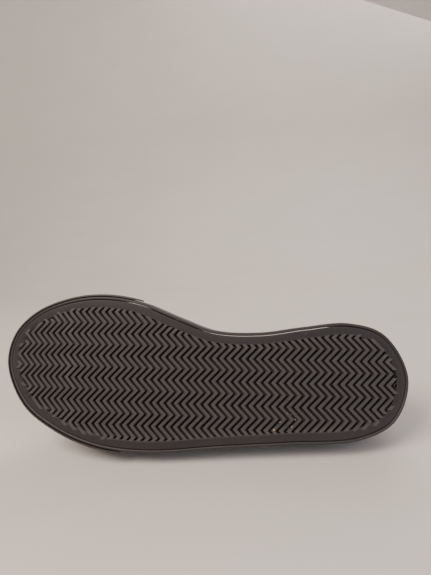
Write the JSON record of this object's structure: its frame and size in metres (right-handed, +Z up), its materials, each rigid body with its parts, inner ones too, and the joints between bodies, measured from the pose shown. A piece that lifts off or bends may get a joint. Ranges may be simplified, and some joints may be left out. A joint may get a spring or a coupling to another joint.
{
  "type": "slip-on sneaker",
  "caption": "Low black slip-on sneaker for the right foot, herringbone rubber outsole, foxing strip, toe bumper, elastic gores, padded collar.",
  "frame": {"origin": "middle of the lying shoe's bounding box, at its base, on the surface that the shoe lies on", "axes": "+X from toe to heel along the shoe, +Z up, -Y the way the outsole faces, tilted up by about 22 degrees"},
  "size_m": [0.3032, 0.1054, 0.1203],
  "materials": {
    "outsole_rubber": "matt moulded",
    "sponge_rubber": "matt sponge",
    "fibre_board": "matt pressed fibre board",
    "sock_cloth": "matt",
    "foxing_rubber": "satin",
    "bumper_rubber": "matt dimpled",
    "leather": "satin grain",
    "lining_cloth": "matt woven",
    "gore_elastic": "matt ribbed",
    "foam": "matt open foam",
    "tab_webbing": "matt woven"
  },
  "bodies": {
    "shoe": {"outsole": "outsole_rubber", "midsole_filler": "sponge_rubber", "insole_board": "fibre_board", "sockliner": "sock_cloth", "foxing_strip": "foxing_rubber", "toe_bumper": "bumper_rubber", "vamp": "leather", "vamp_lining": "lining_cloth", "toe_puff": "fibre_board", "gore_inner": "gore_elastic", "gore_outer": "gore_elastic", "quarter_inner": "leather", "quarter_lining_inner": "lining_cloth", "quarter_outer": "leather", "quarter_lining_outer": "lining_cloth", "heel_counter": "fibre_board", "collar_padding": "foam", "collar_lining": "lining_cloth", "topline_binding": "leather", "heel_stay": "leather"},
    "tongue_flap": {"tongue": "leather", "tongue_padding": "foam", "tongue_lining": "lining_cloth"},
    "pull_tab": {"heel_pull_tab": "tab_webbing"}
  },
  "joints": [
    {"name": "tongue_lift", "type": "hinge", "parent": "shoe", "child": "tongue_flap", "pos_m": [-0.0143, 0.0407, 0.0274], "axis": [0, 0.3698, 0.9291], "range_deg": [0, 12], "stiffness_Nm_per_rad": 1.2},
    {"name": "tab_flip", "type": "hinge", "parent": "shoe", "child": "pull_tab", "pos_m": [0.1409, 0.0328, 0.0255], "axis": [0, 0.3698, 0.9291], "range_deg": [0, 130], "stiffness_Nm_per_rad": 0.02}
  ]
}
